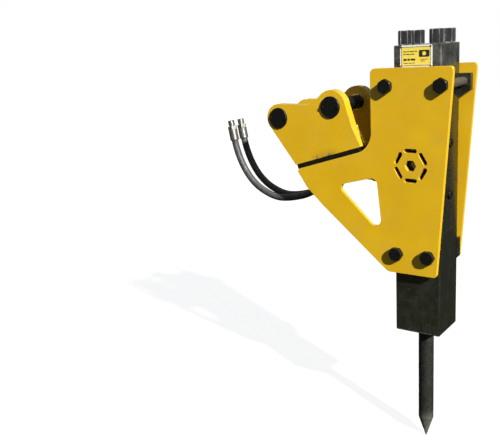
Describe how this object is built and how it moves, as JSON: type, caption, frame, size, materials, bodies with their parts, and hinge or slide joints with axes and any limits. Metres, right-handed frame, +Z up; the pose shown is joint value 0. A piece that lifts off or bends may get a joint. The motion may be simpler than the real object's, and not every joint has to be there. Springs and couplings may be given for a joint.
{
  "type": "hydraulic breaker hammer",
  "caption": "Hydraulic breaker for a small excavator: a square hammer body with a moil point, bolted between side plates that carry ears, mounting pins and hoses.",
  "frame": {"origin": "on the arm pin's axis, midway between the two ears", "axes": "+Z up along the breaker's axis with the working steel pointing down, +X from the ears towards the hammer body, +Y along the mounting pins towards their plain ends"},
  "size_m": [0.788, 0.2335, 1.22],
  "materials": {
    "yellow_paint": "satin enamel",
    "black_paint": "satin enamel",
    "tool_steel": "dark forged steel",
    "ground_steel": "ground",
    "bare_bolt": "zinc plated",
    "black_bolt": "black oxide",
    "plated_fitting": "zinc plated",
    "bronze": "machined",
    "hose_rubber": "matt",
    "seal": "matt",
    "label": "printed"
  },
  "bodies": {
    "hammer": {"side_plate_near": "yellow_paint", "side_plate_far": "yellow_paint", "ear_near": "yellow_paint", "ear_far": "yellow_paint", "base_plate": "black_paint", "ear_bushes": "ground_steel", "front_head": "black_paint", "lower_bush": "ground_steel", "upper_bush": "bronze", "dust_seal": "seal", "bush_pin": "ground_steel", "retaining_pins": "ground_steel", "retaining_plugs": "seal", "grease_nipple": "plated_fitting", "cylinder": "black_paint", "cylinder_plugs": "black_bolt", "valve_body": "black_paint", "valve_caps": "plated_fitting", "valve_screws": "black_bolt", "seal_retainer": "bronze", "rod_seals": "seal", "back_head": "black_paint", "gas_valve": "plated_fitting", "gas_valve_cap": "plated_fitting", "name_plate": "label", "name_plate_rivets": "plated_fitting", "tie_rods": "black_bolt", "tie_rod_nuts": "black_bolt", "upper_side_bolts": "bare_bolt", "upper_side_nuts": "black_bolt", "lower_side_bolts": "black_bolt", "hose_supply": "hose_rubber", "hose_return": "hose_rubber", "port_adapters": "plated_fitting", "hose_nuts": "plated_fitting", "hose_ferrules": "plated_fitting", "hose_end_adapters": "plated_fitting"},
    "tool": {"chisel": "tool_steel"},
    "piston": {"piston": "ground_steel"},
    "spool": {"valve_spool": "ground_steel"},
    "arm_pin_set": {"arm_pin": "black_bolt", "arm_pin_screws": "black_bolt"},
    "link_pin_set": {"link_pin": "black_bolt", "link_pin_screws": "black_bolt"}
  },
  "joints": [
    {"name": "tool_slide", "type": "slide", "parent": "hammer", "child": "tool", "axis": [0, 0, 1], "range_m": [0, 0.045]},
    {"name": "piston_slide", "type": "slide", "parent": "hammer", "child": "piston", "axis": [0, 0, 1], "range_m": [0, 0.05]},
    {"name": "spool_slide", "type": "slide", "parent": "hammer", "child": "spool", "axis": [0, 0, 1], "range_m": [0, 0.012]},
    {"name": "arm_pin_slide", "type": "slide", "parent": "hammer", "child": "arm_pin_set", "axis": [0, -1, 0], "range_m": [0, 0.3]},
    {"name": "link_pin_slide", "type": "slide", "parent": "hammer", "child": "link_pin_set", "axis": [0, -1, 0], "range_m": [0, 0.3]}
  ]
}
